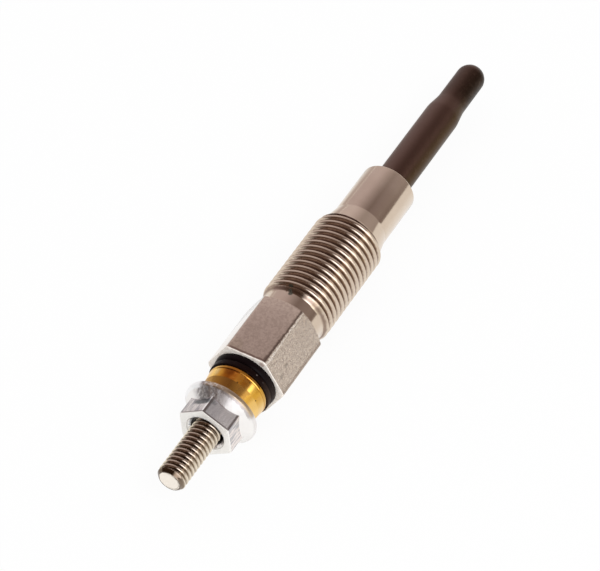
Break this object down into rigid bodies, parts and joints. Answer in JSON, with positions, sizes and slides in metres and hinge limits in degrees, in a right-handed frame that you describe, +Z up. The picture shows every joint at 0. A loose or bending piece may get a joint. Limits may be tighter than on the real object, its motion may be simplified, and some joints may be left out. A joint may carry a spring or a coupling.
{
  "type": "diesel glow plug",
  "caption": "Slim sheathed-element glow plug: threaded terminal stud with flange nut and brass nut, hexagon body, fine thread, plain nose and dark swaged heater tube.",
  "frame": {"origin": "on the floor, under the middle of the plug's length and on its axis seen from above", "axes": "+X along the plug's axis from the terminal stud to the heater tip, +Z up, square to the hexagon flat that faces up"},
  "size_m": [0.0824, 0.0108, 0.01],
  "materials": {
    "plated_steel": "bright plated steel with a warm tint, drawn and lightly scuffed on the hexagon",
    "stud_nickel": "bright plated thread with dark roots",
    "nut_zinc": "bright zinc plate, scuffed",
    "brass": "turned and polished brass",
    "insulator": "moulded black insulator",
    "ring_rubber": "smooth black rubber",
    "heater_sheath": "dark oxidised sheath, satin",
    "seal_rubber": "brown rubber, hidden",
    "packed_powder": "packed white mineral powder, hidden",
    "control_wire": "bare wire, hidden",
    "heating_wire": "bare wire, hidden"
  },
  "bodies": {
    "root": {"housing": "plated_steel", "centre_rod": "stud_nickel", "flange_nut": "nut_zinc", "brass_nut": "brass", "insulating_bush": "insulator", "sealing_ring": "ring_rubber", "heater_tube": "heater_sheath", "tube_seal": "seal_rubber", "insulating_powder": "packed_powder", "control_coil": "control_wire", "heating_coil": "heating_wire"}
  },
  "joints": []
}
